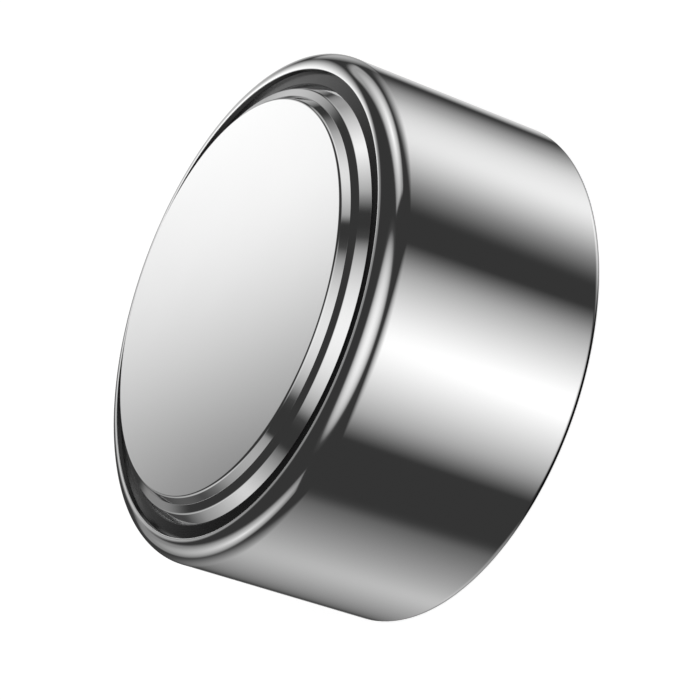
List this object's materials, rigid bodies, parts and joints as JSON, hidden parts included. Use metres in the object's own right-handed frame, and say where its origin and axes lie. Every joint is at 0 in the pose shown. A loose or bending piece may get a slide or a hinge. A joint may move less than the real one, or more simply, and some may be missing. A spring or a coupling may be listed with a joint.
{
  "type": "button cell battery",
  "caption": "Small round battery cell: a polished metal can with its rim crimped over a black sealing ring, and a stepped metal cap whose flat top is the negative contact.",
  "frame": {"origin": "centre of the flat positive base, on the surface that the cell rests on", "axes": "+Z along the cell's axis, from the positive base towards the negative contact face; the cell is round, so X and Y are any two directions across it"},
  "size_m": [0.0116, 0.0116, 0.0058],
  "materials": {
    "can_nickel": "polished nickel plate",
    "cap_nickel": "polished nickel, fine turning marks",
    "black_nylon": "smooth black nylon",
    "cathode_mix": "pressed powder",
    "clear_film": "thin film",
    "absorbent_felt": "non-woven",
    "zinc_gel": "grainy gel"
  },
  "bodies": {
    "root": {"positive_can": "can_nickel", "negative_cap": "cap_nickel", "sealing_gasket": "black_nylon", "cathode_pellet": "cathode_mix", "barrier_film": "clear_film", "absorbent_pad": "absorbent_felt", "anode_gel": "zinc_gel"}
  },
  "joints": []
}
